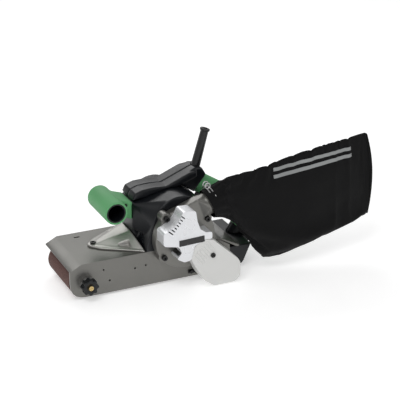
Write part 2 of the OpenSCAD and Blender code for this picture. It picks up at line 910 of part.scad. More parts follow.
// The spout `grow` outside its outer face, running on for `length` past its taper
module spout_shell(grow, length) {
    // taper from the flat volute exit to the round spout, a little inside both
    inset = 0.4;
    wide = spout_r + grow - inset;
    deep = scroll_depth / 2 + grow - inset;
    hull() {
        translate([-wide, -deep, -3])
            cube([2 * wide, 2 * deep, 1]);
        translate([0, 0, taper_len])
            cylinder(r = wide, h = 0.5, $fn = 32);
    }
    translate([0, 0, taper_len])
        cylinder(r = spout_r + grow, h = length);
}

module fan_housing() {
    color("darkgray")
        difference() {
            union() {
                slab(scroll_near, scroll_far)
                    union() {
                        scroll_outline(0);
                        for (spot = lug_spots)
                            translate(spot)
                                circle(r = 9);
                    }
                on_spout()
                    spout_shell(0, spout_len);
                bar_y(motor_x, motor_z, bearing_r + 3, scroll_near - 4, scroll_near);
            }
            slab(scroll_near + 2.5, scroll_far - 2)
                scroll_outline(3);
            on_spout()
                spout_shell(-spout_t, spout_len + 20);
            bar_y(motor_x, motor_z, bearing_r, scroll_near - 5, scroll_near + bearing_w - 4);
            bar_y(motor_x, motor_z, bearing_r - 3, scroll_near - 5, scroll_far + 1);
            // screw holes, and room for the screws' heads
            for (spot = lug_spots) {
                bar_y(spot[0], spot[1], 2, scroll_near - 1, scroll_far + 1);
                bar_y(spot[0], spot[1], 4.6 + face_gap, scroll_near - 12, scroll_near);
            }
        }
}

module housing_screws() {
    color("#202020")
        for (spot = lug_spots)
            translate([spot[0], scroll_near, spot[1]])
                rotate([90, 0, 0])
                    cap_screw(4.6, 5, 2, scroll_depth);
}

// Open box behind a cover's outline
module cover_shell(points, back, radius) {
    inner = [for (p = points)
        let (
            middle = [for (k = [0, 1]) (max([for (q = points) q[k]]) + min([for (q = points) q[k]])) / 2],
            run = p - middle
        )
        p - run / norm(run) * cover_t * 1.4];
    difference() {
        slab(cover_y, back)
            polygon(rounded(points, radius));
        slab(cover_y + cover_t, back + 1)
            polygon(rounded(inner, radius));
    }
}

// Room for the drive belt where it passes from one cover into the other
module belt_passage() {
    room = drive_belt_t + 1.5;
    slab(drive_belt_y - 2, scroll_near + 1)
        belt_outline([motor_x, motor_z], motor_pitch_r + room, [drive_x, axle_z],
            drive_pitch_r + room);
}

module fan_cover() {
    color("gainsboro")
        difference() {
            cover_shell(star_points, scroll_near, 6);
            // seven vents along the edge between the two upper-left arms
            for (i = [0 : 6])
                translate([motor_x - 38 + i * 3.4, cover_y - 1, motor_z + 11 + i * 4])
                    rotate([0, 42, 0])
                        translate([-8, 0, -0.95])
                            cube([14, cover_t + 2, 1.9]);
            belt_passage();
            // fits round the front bearing's boss
            bar_y(motor_x, motor_z, bearing_r + 3 + face_gap, scroll_near - 4 - face_gap,
                scroll_near + 1);
        }
}

module name_plate() {
    color("black")
        translate([motor_x - 1, cover_y, motor_z - 10])
            rotate([0, -2, 0])
                translate([-22, -0.8, -5.25])
                    cube([44, 0.8, 10.5]);
}

module belt_cover() {
    ribs = 7;
    rib_len = 22;
    first = [motor_x + 3, motor_z - 37];
    last = [motor_x + 25, motor_z - 16];
    color("gainsboro")
        difference() {
            union() {
                cover_shell(cover_points, scroll_far - 8, 12);
                // parallel ribs on the upper front of the cover
                for (i = [0 : ribs - 1])
                    let (spot = first + (last - first) * i / (ribs - 1))
                        translate([spot[0], cover_y, spot[1]])
                            rotate([0, 52, 0])
                                translate([0, -1, -0.9])
                                    cube([rib_len, 1.4, 1.8]);
            }
            belt_passage();
            // fits round the fan housing and the bearing boss
            bar_y(scroll_x, scroll_z, scroll_r + face_gap, scroll_near, near_y);
            bar_y(drive_x, axle_z, drive_bearing_r + 4 + face_gap, boss_near - 1, near_y);
            translate([motor_x + 36, cover_y - 1, motor_z - 41.7])
                rotate([-90, 0, 0])
                    cylinder(r = 2.2, h = 10);
        }
}

module cover_screw() {
    color("#202020")
        translate([motor_x + 36, cover_y, motor_z - 41.7])
            rotate([90, 0, 0])
                cap_screw(4.2, 2.2, 2.2, 9);
}

// ---------- idler, tension and tracking ----------

module idler_roller() {
    half = roller_len / 2 - 0.5;
    color("lightgray")
        difference() {
            bar_y(idler_x, axle_z, roller_r, -half, half);
            for (start = [-half - 1, half - idler_bearing_w])
                bar_y(idler_x, axle_z, idler_bearing_r, start, start + idler_bearing_w + 1);
            bar_y(idler_x, axle_z, idler_axle_d / 2 + 2, -half - 1, half + 1);
        }
}

module idler_bearings() {
    half = roller_len / 2 - 0.5;
    color("gainsboro")
        for (start = [-half, half - idler_bearing_w])
            bearing_y(idler_x, axle_z, idler_bearing_r, idler_axle_d / 2 + turn_gap,
                start, idler_bearing_w);
}

module idler_axle() {
    color("silver")
        bar_y(idler_x, axle_z, idler_axle_d / 2, -arm_in - arm_t, arm_in + arm_t);
}

module idler_yoke() {
    color("dimgray")
        difference() {
            union() {
                for (side = [-1, 1])
                    translate([0, side * (arm_in + arm_t / 2), 0])
                        block([idler_x - 9, -arm_t / 2, axle_z - 9],
                            [yoke_bar_rear, arm_t / 2, axle_z + 9]);
                block([yoke_bar_front, -arm_in - arm_t, axle_z - 9],
                    [yoke_bar_rear, arm_in + arm_t, axle_z + 9]);
                block([yoke_bar_rear, -yoke_stem_half, axle_z - stem_z_half],
                    [beam_front + beam_wall + 12, yoke_stem_half, axle_z + stem_z_half]);
            }
            bar_y(idler_x, axle_z, idler_axle_d / 2, -arm_in - arm_t - 1, arm_in + arm_t + 1);
        }
}

module tension_spring() {
    turns = 4;
    wire_r = 1.2;
    pitch = (beam_front - yoke_bar_rear - 2 * wire_r) / (turns - 1);
    color("silver")
        for (i = [0 : turns - 1])
            translate([yoke_bar_rear + wire_r + i * pitch, 0, axle_z])
                rotate([0, 90, 0])
                    rotate_extrude()
                        translate([13, 0])
                            circle(r = wire_r);
}

module lever_pin() {
    color("silver")
        translate([lever_x, lever_y, lever_low])
            cylinder(r = 3, h = lever_pin_len);
}

module tension_lever() {
    color("#303236")
        difference() {
            union() {
                translate([lever_x, lever_y, axle_z - 6])
                    cylinder(r = 5.5, h = 12);
                block([lever_x - 46, lever_y - 2, axle_z - 6], [lever_x - 4, lever_y + 2, axle_z + 6]);
                translate([lever_x - 46, lever_y, axle_z - 6])
                    cylinder(r = 3, h = 12);
            }
            translate([lever_x, lever_y, axle_z - 7])
                cylinder(r = 3 + turn_gap, h = 14);
        }
}

module tracking_collar() {
    color("silver")
        ring_y(idler_x, axle_z, 12, tracking_r + turn_gap, near_y - 0.5 - collar_w, near_y - 0.5);
}

module tracking_screw() {
    color("goldenrod")
        difference() {
            bar_y(idler_x, axle_z, tracking_r, near_y - collar_w - knob_w - 3,
                panel_y - face_gap);
            for (a = [0, 90])
                translate([idler_x, near_y - collar_w - knob_w - 3, axle_z])
                    rotate([0, a, 0])
                        cube([6, 2, 1.2], center = true);
        }
}

module tracking_knob() {
    face_y = near_y - collar_w - 1;
    lobes = 8;
    color("#1c1c1e")
        difference() {
            union() {
                bar_y(idler_x, axle_z, knob_r - 2.5, face_y - knob_w, face_y);
                for (i = [0 : lobes - 1])
                    bar_y(idler_x + (knob_r - 3) * cos(i * 360 / lobes),
                        axle_z + (knob_r - 3) * sin(i * 360 / lobes), 3,
                        face_y - knob_w, face_y);
            }
            bar_y(idler_x, axle_z, tracking_r, face_y - knob_w - 1, face_y + 1);
            bar_y(idler_x, axle_z, 7, face_y - knob_w - 1, face_y - knob_w + 1);
        }
}

module side_clamp() {
    color("darkgoldenrod")
        union() {
            block([motor_x + 13, near_y - 2, panel_lift + 6], [motor_x + 29, near_y, panel_lift + 12]);
            for (dx = [17, 25])
                translate([motor_x + dx, near_y - 2, panel_lift + 9])
                    rotate([90, 0, 0])
                        cylinder(r = 2.6, h = 3);
        }
}

// ---------- handles ----------

module front_neck_outline() {
    polygon([
        [front_x + 8, front_z + 15], [foot_front - 6.5, front_z + 6],
        [foot_front - 7.5, front_z - 24], [front_x + 12, front_z - 14]
    ]);
}

module front_handle_core() {
    r = front_grip_d / 2 - soft_t;
    color("#202226")
        difference() {
            bar_y(front_x, front_z, r, front_near + 1, front_far - 1);
            bar_y(front_x, front_z, r - 2, front_near, front_far - 4);
        }
}

module front_grip() {
    color("#5fae68")
        difference() {
            union() {
                bar_y(front_x, front_z, front_grip_d / 2, front_near, front_far);
                slab(-24, 24)
                    front_neck_outline();
            }
            bar_y(front_x, front_z, front_grip_d / 2 - soft_t, front_near - 1, front_far - 1);
            slab(-core_half, core_half)
                polygon(core_points);
            handle_body();
            translate([front_x + 24, -25, front_z + 2])
                rotate([-90, 0, 0])
                    cylinder(r = 2.6, h = 6);
        }
}

module front_handle_screw() {
    color("#202020")
        translate([front_x + 24, -22, front_z + 2])
            rotate([90, 0, 0])
                cylinder(r = 2.4, h = 1.5);
}

module handle_body() {
    union() {
        slab(-spine_half, spine_half)
            polygon(spine_points);
        slab(-neck_half, neck_half)
            polygon(handle_points);
    }
}

module handle_cuts() {
    // room for the switch and the cord guard's foot
    slab(-neck_half + shell_t, neck_half - shell_t)
        polygon([[motor_x + 22, motor_z + 62], [motor_x + 44, motor_z + 70],
            [motor_x + 54, motor_z + 62], [motor_x + 42, motor_z + 42], [motor_x + 24, motor_z + 52]]);
    // socket of the cord guard
    translate([guard_foot[0], 0, guard_foot[1]])
        rotate([0, guard_lean, 0])
            cylinder(r = guard_d / 2, h = 30);
    // way in for the mains lead
    translate([guard_foot[0], 0, guard_foot[1]])
        rotate([0, guard_lean, 0])
            translate([0, 0, -9])
                cylinder(r = lead_d / 2 + 0.5, h = 10);
    // the motor housing and its front block below
    slab(-60, 60)
        tunnel_outline(0, top_z);
    slab(-60, 60)
        polygon(core_points);
    slab(-60, 60)
        polygon(shoulder_points);
    // pockets of the lock button and the speed dial
    bar_y(button_spot[0], button_spot[1], button_r + slide_gap, spine_half - button_deep,
        spine_half + 1);
    bar_y(dial_spot[0], dial_spot[1], 2.5 + turn_gap, neck_half - shell_t - 1, neck_half + 1);
}

// The bent round bar of the rear handle, down to point `low`
module grip_bar(r, low) {
    strut(grip_base, grip_corner, 0, r);
    // the bend is a little fuller than the bars
    translate([grip_corner[0], 0, grip_corner[1]])
        sphere(r = r * 1.03);
    strut(grip_corner, low, 0, r);
}

module grip_core() {
    grip_bar(grip_d / 2 - soft_t, leg_foot - 10 * leg_axis);
    strut(leg_foot - 10 * leg_axis, leg_collar, 0, grip_d / 2);
}

module shroud_cut() {
    block([drive_x + 30, -40, 0], [drive_x + 120, 40, shroud_top]);
}

module handle_half(side) {
    color("#202226")
        intersection() {
            difference() {
                union() {
                    handle_body();
                    grip_core();
                }
                handle_cuts();
                trigger_slot();
                shroud_cut();
            }
            block([motor_x - 80, side < 0 ? -60 : 0, 0], [motor_x + 240, side < 0 ? 0 : 60, 260]);
        }
}

module handle_shell_near() {
    handle_half(-1);
}

module handle_shell_far() {
    handle_half(1);
}

module rear_grip() {
    color("#5fae68")
        difference() {
            grip_bar(grip_d / 2, leg_collar);
            handle_body();
            grip_bar(grip_d / 2 - soft_t, leg_foot);
            trigger_slot();
        }
}

module trigger_slot() {
    in_grip()
        block([trigger_from - slide_gap, -trigger_half - slide_gap, -30],
            [trigger_from + trigger_len + slide_gap, trigger_half + slide_gap, 1]);
}

module trigger() {
    color("#303236")
        in_grip()
            difference() {
                block([trigger_from, -trigger_half, -grip_d / 2 - 8],
                    [trigger_from + trigger_len, trigger_half, -trigger_travel - 0.5]);
                translate([trigger_from + trigger_len / 2, -10, -grip_d / 2 - 34])
                    rotate([-90, 0, 0])
                        cylinder(r = 30, h = 20);
            }
}

module switch_body() {
    color("#101418")
        slab(-neck_half + shell_t, neck_half - shell_t - 1)
            polygon([[motor_x + 27, motor_z + 58], [motor_x + 40, motor_z + 61],
                [motor_x + 45, motor_z + 57], [motor_x + 40, motor_z + 46],
                [motor_x + 29, motor_z + 53]]);
}

module lock_button() {
    color("#7a2020")
        bar_y(button_spot[0], button_spot[1], button_r, spine_half - button_deep + 3,
            spine_half + 4);
}

module speed_dial() {
    color("#303236")
        difference() {
            union() {
                bar_y(dial_spot[0], dial_spot[1], 8, neck_half + 0.1, neck_half + 4);
                bar_y(dial_spot[0], dial_spot[1], 2.5, neck_half - shell_t, neck_half + 1);
            }
            // grip notches round the rim
            for (a = [0 : 30 : 330])
                bar_y(dial_spot[0] + 8.3 * cos(a), dial_spot[1] + 8.3 * sin(a), 1,
                    neck_half, neck_half + 5);
        }
}

module cord_guard() {
    ribs = 9;
    tip_r = guard_d / 2 - 1.4;
    step = (guard_len - 12) / ribs;
    color("#141414")
        translate([guard_foot[0], 0, guard_foot[1]])
            rotate([0, guard_lean, 0])
                difference() {
                    union() {
                        cylinder(r1 = guard_d / 2, r2 = tip_r, h = guard_len);
                        translate([0, 0, guard_len - 4])
                            cylinder(r = guard_d / 2 + 0.3, h = 4);
                        for (i = [1 : ribs])
                            translate([0, 0, i * step])
                                cylinder(r = guard_d / 2 - 0.1 - 0.12 * i, h = 2.4);
                    }
                    translate([0, 0, -1])
                        cylinder(r = lead_d / 2, h = guard_len + 2);
                }
}

// ---------- dust bag ----------

module bag_collar() {
    color("#1a1a1a")
        on_spout()
            difference() {
                translate([0, 0, collar_from])
                    cylinder(r = collar_r, h = collar_len);
                translate([0, 0, collar_from - 1])
                    cylinder(r = spout_r + face_gap, h = collar_len + 2);
            }
}

module wire_clip() {
    wire_r = 1;
    loop_r = 4.5;
    color("silver")
        on_spout()
            union() {
                for (z = [collar_from + 5, collar_from + 10])
                    translate([0, 0, z])
                        rotate_extrude()
                            translate([bag_neck_r + wire_r, 0])
                                circle(r = wire_r);
                // finger loops on top
                for (dy = [-4, 4])
                    translate([-bag_neck_r - wire_r - loop_r, dy, collar_from + 7.5])
                        rotate([90, 0, 0])
                            rotate_extrude()
                                translate([loop_r, 0])
                                    circle(r = wire_r);
            }
}

// The filled bag: a flat pouch in a vertical plane, gathered to a round neck
module dust_bag() {
    swell = [for (p = pouch_points) pouch_middle + 0.72 * (p - pouch_middle)];
    color("#161616")
        difference() {
            union() {
                hull() {
                    slab(bag_y - bag_edge, bag_y + bag_edge)
                        polygon(rounded(pouch_points, 14));
                    slab(bag_y - bag_depth / 2, bag_y + bag_depth / 2)
                        polygon(rounded(swell, 20));
                }
                on_spout()
                    translate([0, 0, collar_from - 2])
                        cylinder(r = bag_neck_r, h = collar_len + 2);
                // the cloth widens behind the wire clip
                hull() {
                    on_spout()
                        translate([0, 0, collar_from + 13])
                            cylinder(r = bag_neck_r - 0.5, h = 8, $fn = 32);
                    slab(bag_y - bag_edge - 9, bag_y + bag_edge + 9)
                        polygon([[bag_x + 40, bag_z + 39], [bag_x + 70, bag_z + 38],
                            [bag_x + 70, bag_z - 62], [bag_x + 48, bag_z - 42]]);
                }
            }
            on_spout() {
                cylinder(r = collar_r, h = collar_from + collar_len);
                cylinder(r = spout_r + face_gap, h = taper_len + spout_len + 2);
            }
        }
}

frame();
rear_hood();
rear_shroud();
nose_bracket();
bracket_screw();
cork_pad();
sanding_plate();
plate_screws();
abrasive_belt();
drive_roller();
roller_lagging();
drive_shaft();
drive_bearings();
driven_pulley();
pulley_nut();
drive_belt();
motor_pulley();
armature_shaft();
armature_core();
end_windings();
commutator();
dust_fan();
motor_bearings();
stator_core();
field_coils();
carbon_brushes();
brush_caps();
motor_housing();
end_cap();
fan_housing();
housing_screws();
fan_cover();
name_plate();
belt_cover();
cover_screw();
idler_roller();
idler_bearings();
idler_axle();
idler_yoke();
tension_spring();
tension_lever();
lever_pin();
tracking_collar();
tracking_screw();
tracking_knob();
front_handle_core();
front_grip();
front_handle_screw();
handle_shell_near();
handle_shell_far();
rear_grip();
switch_body();
trigger();
lock_button();
speed_dial();
cord_guard();
bag_collar();
wire_clip();
dust_bag();
side_clamp();
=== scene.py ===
"""Looks of the handheld belt sander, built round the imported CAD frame. Units are metres."""
import json
import math

import bmesh
import bpy
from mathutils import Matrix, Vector, noise
from mathutils.bvhtree import BVHTree

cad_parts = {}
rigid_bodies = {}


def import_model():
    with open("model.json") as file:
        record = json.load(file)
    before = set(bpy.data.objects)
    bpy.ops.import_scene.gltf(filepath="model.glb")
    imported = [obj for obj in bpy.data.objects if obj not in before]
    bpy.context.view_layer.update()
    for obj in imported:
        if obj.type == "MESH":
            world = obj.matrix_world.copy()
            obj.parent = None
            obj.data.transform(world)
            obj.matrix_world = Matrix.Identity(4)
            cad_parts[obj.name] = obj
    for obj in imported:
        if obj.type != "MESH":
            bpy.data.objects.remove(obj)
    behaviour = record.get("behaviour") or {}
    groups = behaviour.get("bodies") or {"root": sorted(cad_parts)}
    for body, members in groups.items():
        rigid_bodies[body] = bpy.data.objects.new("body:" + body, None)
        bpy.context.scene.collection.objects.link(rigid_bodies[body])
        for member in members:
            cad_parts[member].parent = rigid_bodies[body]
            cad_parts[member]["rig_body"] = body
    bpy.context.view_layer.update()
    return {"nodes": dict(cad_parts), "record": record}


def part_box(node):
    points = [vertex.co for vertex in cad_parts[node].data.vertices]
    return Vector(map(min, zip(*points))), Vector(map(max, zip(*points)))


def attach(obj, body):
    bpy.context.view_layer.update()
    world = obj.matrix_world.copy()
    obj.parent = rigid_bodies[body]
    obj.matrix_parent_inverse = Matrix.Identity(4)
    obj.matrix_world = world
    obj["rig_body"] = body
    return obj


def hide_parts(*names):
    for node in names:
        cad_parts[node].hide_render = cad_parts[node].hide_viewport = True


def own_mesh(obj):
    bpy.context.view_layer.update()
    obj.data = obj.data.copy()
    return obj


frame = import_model()
nodes = frame["nodes"]
scene = bpy.context.scene

MM = 0.001

# ---------- camera, floor and lights ----------

CAMERA_AT = (-0.780727, -1.956787, 1.024297)
CAMERA_TURN = (66.95677, 0.0, -24.60692)
LENS_MM = 126.0

FLOOR_Z = -0.0006
FLOOR_HALF = 8.0
FLOOR_GLOW = 0.42
WORLD_LIGHT = 0.42
# The point that the lamps face
LAMPS_FACE = (0.05, 0.0, 0.1)
LAMPS = [
    # name, place, size, watts
    ("key", (-0.9, -1.0, 1.9), (1.1, 1.1), 15),
    ("fill", (1.6, -1.6, 0.9), (1.2, 1.0), 5),
    ("rim", (0.4, 1.5, 1.3), (1.6, 0.7), 9),
]


def add_camera():
    """The camera, which looks at the sander's near side from the front and above."""
    camera = bpy.data.objects.new("camera", bpy.data.cameras.new("camera"))
    camera.data.sensor_width = 36.0
    camera.data.lens = LENS_MM
    camera.data.clip_end = 50.0
    camera.location = CAMERA_AT
    camera.rotation_euler = [math.radians(a) for a in CAMERA_TURN]
    scene.collection.objects.link(camera)
    scene.camera = camera


def add_area(name, place, target, size, watts):
    """A rectangular lamp that faces its target."""
    lamp = bpy.data.objects.new(name, bpy.data.lights.new(name, "AREA"))
    lamp.data.shape = "RECTANGLE"
    lamp.data.size, lamp.data.size_y = size
    lamp.data.energy = watts
    lamp.location = place
    lamp.rotation_euler = (Vector(target) - Vector(place)).to_track_quat("-Z", "Y").to_euler()
    scene.collection.objects.link(lamp)


def add_studio():
    """An even white world, plain colours and the lamps."""
    world = bpy.data.worlds.new("studio")
    world.use_nodes = True
    background = world.node_tree.nodes["Background"]
    background.inputs["Color"].default_value = (1.0, 1.0, 1.0, 1.0)
    background.inputs["Strength"].default_value = WORLD_LIGHT
    scene.world = world
    scene.view_settings.view_transform = "Standard"
    for name, place, size, watts in LAMPS:
        add_area(name, place, LAMPS_FACE, size, watts)


def add_floor():
    """A white floor that glows a little, so that it stays white under the soft light."""
    floor_mesh = bpy.data.meshes.new("floor")
    corners = [(x * FLOOR_HALF, y * FLOOR_HALF, FLOOR_Z)
               for x, y in ((-1, -1), (1, -1), (1, 1), (-1, 1))]
    floor_mesh.from_pydata(corners, [], [(0, 1, 2, 3)])
    floor = bpy.data.objects.new("floor", floor_mesh)
    scene.collection.objects.link(floor)
    white = make_material("floor_white", (0.9, 0.9, 0.9), rough=0.85, tone=0.01, grain=40.0,
                          bump=0.02)
    shader = white.node_tree.nodes["Principled BSDF"]
    shader.inputs["Emission Color"].default_value = (1.0, 1.0, 1.0, 1.0)
    shader.inputs["Emission Strength"].default_value = FLOOR_GLOW
    floor_mesh.materials.append(white)


# ---------- materials ----------

# The part of a noise's 0..1 range that is spread over the whole of a look
NOISE_FROM, NOISE_TO = 0.3, 0.7
# Where specks start and are full in the grain at no share, and how far the share moves that
SPECK_FROM, SPECK_TO = 0.62, 0.68
SPECK_SHIFT = 0.25
WAVE_WOBBLE = 0.4
WAVE_BUMP = 0.35


def add_node(tree, kind, **inputs):
    """A shader node with its inputs set by name."""
    made = tree.nodes.new(kind)
    for name, value in inputs.items():
        made.inputs[name.replace("_", " ")].default_value = value
    return made


def noise_of(tree, source, scale, detail=3.0):
    """The 0..1 output of a noise over the source's coordinates."""
    made = add_node(tree, "ShaderNodeTexNoise", Scale=scale, Detail=detail)
    tree.links.new(source, made.inputs["Vector"])
    return made.outputs["Fac"]


def spread(tree, factor, low, high):
    """Maps a 0..1 noise to the range low..high."""
    made = add_node(tree, "ShaderNodeMapRange")
    made.inputs["From Min"].default_value = NOISE_FROM
    made.inputs["From Max"].default_value = NOISE_TO
    made.inputs["To Min"].default_value = low
    made.inputs["To Max"].default_value = high
    tree.links.new(factor, made.inputs["Value"])
    return made.outputs["Result"]


def add_bump(tree, height, strength, distance, normal=None):
    """The normal after a bump, laid over an earlier one if that is given."""
    made = add_node(tree, "ShaderNodeBump", Strength=strength, Distance=distance)
    tree.links.new(height, made.inputs["Height"])
    if normal:
        tree.links.new(normal, made.inputs["Normal"])
    return made.outputs["Normal"]


def scaled_colour(colour, factor):
    """The colour made lighter or darker, with full alpha."""
    return tuple(min(c * factor, 1.0) for c in colour) + (1.0,)


def add_specks(tree, shade, grains, colour, share):
    """The shade with grains of a second colour strewn over it."""
    dots = add_node(tree, "ShaderNodeMix")
    dots.data_type = "RGBA"
    dots.inputs["B"].default_value = (*colour, 1.0)
    ramp = add_node(tree, "ShaderNodeMapRange")
    ramp.inputs["From Min"].default_value = SPECK_FROM - share * SPECK_SHIFT
    ramp.inputs["From Max"].default_value = SPECK_TO - share * SPECK_SHIFT
    tree.links.new(grains, ramp.inputs["Value"])
    tree.links.new(ramp.outputs["Result"], dots.inputs["Factor"])
    tree.links.new(shade, dots.inputs["A"])
    return dots.outputs["Result"]


def make_material(name, colour, rough=0.5, metal=0.0, tone=0.12, grain=300.0, bump=0.15,
                  depth=0.2 * MM, blotch=18.0, rough_spread=0.08, gloss=0.5, sheen=0.0,
                  speck=None, stretch=(1.0, 1.0, 1.0), waves=None):
    """A procedural finish: slow blotches of tone and roughness over a fine bumped grain.

    speck is (colour, share) for grains of a second colour, stretch pulls the grain out along
    an axis as brushing does, and waves is a list of (axis, scale) for woven or ribbed bumps.
    """
    material = bpy.data.materials.new(name)
    material.use_nodes = True
    tree = material.node_tree
    shader = tree.nodes["Principled BSDF"]
    shader.inputs["Metallic"].default_value = metal
    shader.inputs["Specular IOR Level"].default_value = gloss
    shader.inputs["Sheen Weight"].default_value = sheen
    place = add_node(tree, "ShaderNodeTexCoord").outputs["Object"]
    blotches = noise_of(tree, place, blotch)
    pull = add_node(tree, "ShaderNodeMapping", Scale=stretch)
    tree.links.new(place, pull.inputs["Vector"])
    grains = noise_of(tree, pull.outputs["Vector"], grain, 4.0)

    mix = add_node(tree, "ShaderNodeMix")
    mix.data_type = "RGBA"
    mix.inputs["A"].default_value = scaled_colour(colour, 1 - tone)
    mix.inputs["B"].default_value = scaled_colour(colour, 1 + tone)
    tree.links.new(spread(tree, blotches, 0.0, 1.0), mix.inputs["Factor"])
    shade = mix.outputs["Result"]
    if speck:
        shade = add_specks(tree, shade, grains, *speck)
    tree.links.new(shade, shader.inputs["Base Color"])
    tree.links.new(spread(tree, blotches, rough - rough_spread, rough + rough_spread),
                   shader.inputs["Roughness"])
    normal = add_bump(tree, grains, bump, depth)
    for axis, scale in waves or []:
        wave = add_node(tree, "ShaderNodeTexWave", Scale=scale, Distortion=WAVE_WOBBLE)
        wave.bands_direction = axis
        tree.links.new(place, wave.inputs["Vector"])
        normal = add_bump(tree, wave.outputs["Fac"], WAVE_BUMP, depth, normal)
    tree.links.new(normal, shader.inputs["Normal"])
    return material


FINISHES = {
    "grey_casting": dict(colour=(0.18, 0.177, 0.165), rough=0.35, metal=0.7, tone=0.07,
                         grain=900.0, bump=0.3, stretch=(0.35, 1.0, 1.0)),
    "bright_casting": dict(colour=(0.46, 0.45, 0.43), rough=0.4, metal=0.7, tone=0.12,
                           grain=160.0, bump=0.35, depth=0.6 * MM),
    "silver_cover": dict(colour=(0.74, 0.75, 0.77), rough=0.3, metal=0.45, tone=0.03,
                         grain=1200.0, bump=0.1),
    "pale_cover": dict(colour=(0.66, 0.66, 0.645), rough=0.38, tone=0.02, grain=1100.0,
                       bump=0.12),
    "black_plastic": dict(colour=(0.006, 0.007, 0.009), rough=0.33, tone=0.15, grain=1500.0,
                          bump=0.22, depth=0.12 * MM, gloss=0.36),
    "soft_green": dict(colour=(0.11, 0.36, 0.145), rough=0.6, tone=0.05, grain=1000.0,
                       bump=0.3),
    "black_rubber": dict(colour=(0.009, 0.009, 0.01), rough=0.36, tone=0.2, grain=800.0,
                         bump=0.2),
    "abrasive": dict(colour=(0.075, 0.032, 0.027), rough=0.85, tone=0.12, grain=2200.0,
                     bump=0.9, depth=0.4 * MM, speck=((0.16, 0.085, 0.07), 0.5)),
    "steel": dict(colour=(0.55, 0.55, 0.55), rough=0.28, metal=1.0, tone=0.05, grain=400.0,
                  bump=0.1, stretch=(1.0, 12.0, 1.0)),
    "black_steel": dict(colour=(0.03, 0.03, 0.03), rough=0.35, metal=0.8, tone=0.15,
                        grain=700.0),
    "machined_aluminium": dict(colour=(0.68, 0.68, 0.7), rough=0.25, metal=1.0, tone=0.04,
                               grain=500.0, stretch=(1.0, 14.0, 1.0)),
    "copper": dict(colour=(0.5, 0.2, 0.09), rough=0.35, metal=1.0, tone=0.15, grain=500.0,
                   stretch=(8.0, 1.0, 8.0), bump=0.4),
    "brass": dict(colour=(0.62, 0.47, 0.22), rough=0.3, metal=1.0, tone=0.08, grain=500.0),
    "carbon": dict(colour=(0.02, 0.02, 0.02), rough=0.7, tone=0.2, grain=900.0),
    "cork": dict(colour=(0.38, 0.22, 0.1), rough=0.9, tone=0.2, grain=500.0, bump=0.5,
                 speck=((0.12, 0.06, 0.03), 0.4)),
    "bag_cloth": dict(colour=(0.0035, 0.0035, 0.0038), rough=0.7, tone=0.3, grain=260.0,
                      bump=0.3, depth=0.4 * MM, sheen=0.015, gloss=0.14,
                      waves=[("X", 420.0), ("Z", 420.0)]),
    "bag_print": dict(colour=(0.27, 0.28, 0.28), rough=0.7, tone=0.1, grain=260.0, bump=0.3,
                      waves=[("X", 420.0), ("Z", 420.0)]),
    "red_plastic": dict(colour=(0.3, 0.02, 0.02), rough=0.4, tone=0.06, grain=1200.0),
    "plate_black": dict(colour=(0.008, 0.008, 0.009), rough=0.25, tone=0.1, grain=600.0,
                        bump=0.05),
}

node_slot = {s["node"]: s["material_slot"] for s in frame["record"]["subparts"]}
finishes = {name: make_material(name, **words) for name, words in FINISHES.items()}


def paint(piece, slot, finish=None):
    """Gives a piece its slot's finish, or its own finish if one is given."""
    piece.data.materials.clear()
    piece.data.materials.append(finishes[finish or slot])


# ---------- edges of the hard CAD nodes ----------

# Bevel widths in millimetres; the rest get EDGE_OTHER_MM
EDGE_MM = {
    "frame": 1.0, "end_cap": 1.0, "rear_hood": 1.2, "rear_shroud": 1.5, "tension_lever": 0.8,
    "trigger": 1.0, "name_plate": 0.3, "bag_collar": 0.8, "brush_caps": 0.5,
    "fan_cover": 0.7,
}
EDGE_OTHER_MM = 0.2
# Edges sharper than SHARP are rounded; facets within FLAT of each other are made one
SHARP = math.radians(32)
FLAT = math.radians(0.5)
WELD_MM = 0.005
EDGE_SEGMENTS = 3
SHADE_WEIGHT = 80


def soften(node, width_mm):
    """Rounds a CAD node's edges with modifiers; its own mesh stays as it is."""
    piece = nodes[node]
    weld = piece.modifiers.new("weld", "WELD")
    weld.merge_threshold = WELD_MM * MM
    flat = piece.modifiers.new("flat", "DECIMATE")
    flat.decimate_type = "DISSOLVE"
    flat.angle_limit = FLAT
    edge = piece.modifiers.new("edge", "BEVEL")
    edge.width = width_mm * MM
    edge.segments = EDGE_SEGMENTS
    edge.limit_method = "ANGLE"
    edge.angle_limit = SHARP
    edge.miter_outer = "MITER_ARC"
    piece.data.polygons.foreach_set("use_smooth", [True] * len(piece.data.polygons))
    shade = piece.modifiers.new("shade", "WEIGHTED_NORMAL")
    shade.weight = SHADE_WEIGHT


# ---------- moulded and cast pieces ----------

# node: (voxel in millimetres, smoothing passes, share of faces kept)
MOULDED = {
    "handle_shell_near": (1.3, 14, 0.35), "handle_shell_far": (1.3, 14, 0.35),
    "front_grip": (1.1, 16, 0.4), "nose_bracket": (1.0, 10, 0.35),
    "motor_housing": (1.4, 8, 0.35), "fan_housing": (1.1, 6, 0.35),
    "tracking_knob": (0.6, 8, 0.4), "cord_guard": (0.6, 4, 0.4), "belt_cover": (0.6, 4, 0.3),
}
SMOOTHING = 0.5

# The grip's slope at the trigger, and the room in which trigger and lock button slide
GRIP_SLOPE = math.radians(32.5)
SLIDE_ROOM = 0.5 * MM
TRIGGER_TRAVEL = 5 * MM
BUTTON_TRAVEL = 2.5 * MM
BUTTON_SIDES = 48


def add_piece(name, mesh, body, slot, stands_for=(), finish=None):
    """Links a finished mesh as a piece that rides on a body."""
    piece = bpy.data.objects.new(name, mesh)
    scene.collection.objects.link(piece)
    mesh.polygons.foreach_set("use_smooth", [True] * len(mesh.polygons))
    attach(piece, body)
    paint(piece, slot, finish)
    if stands_for:
        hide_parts(*stands_for)
    return piece


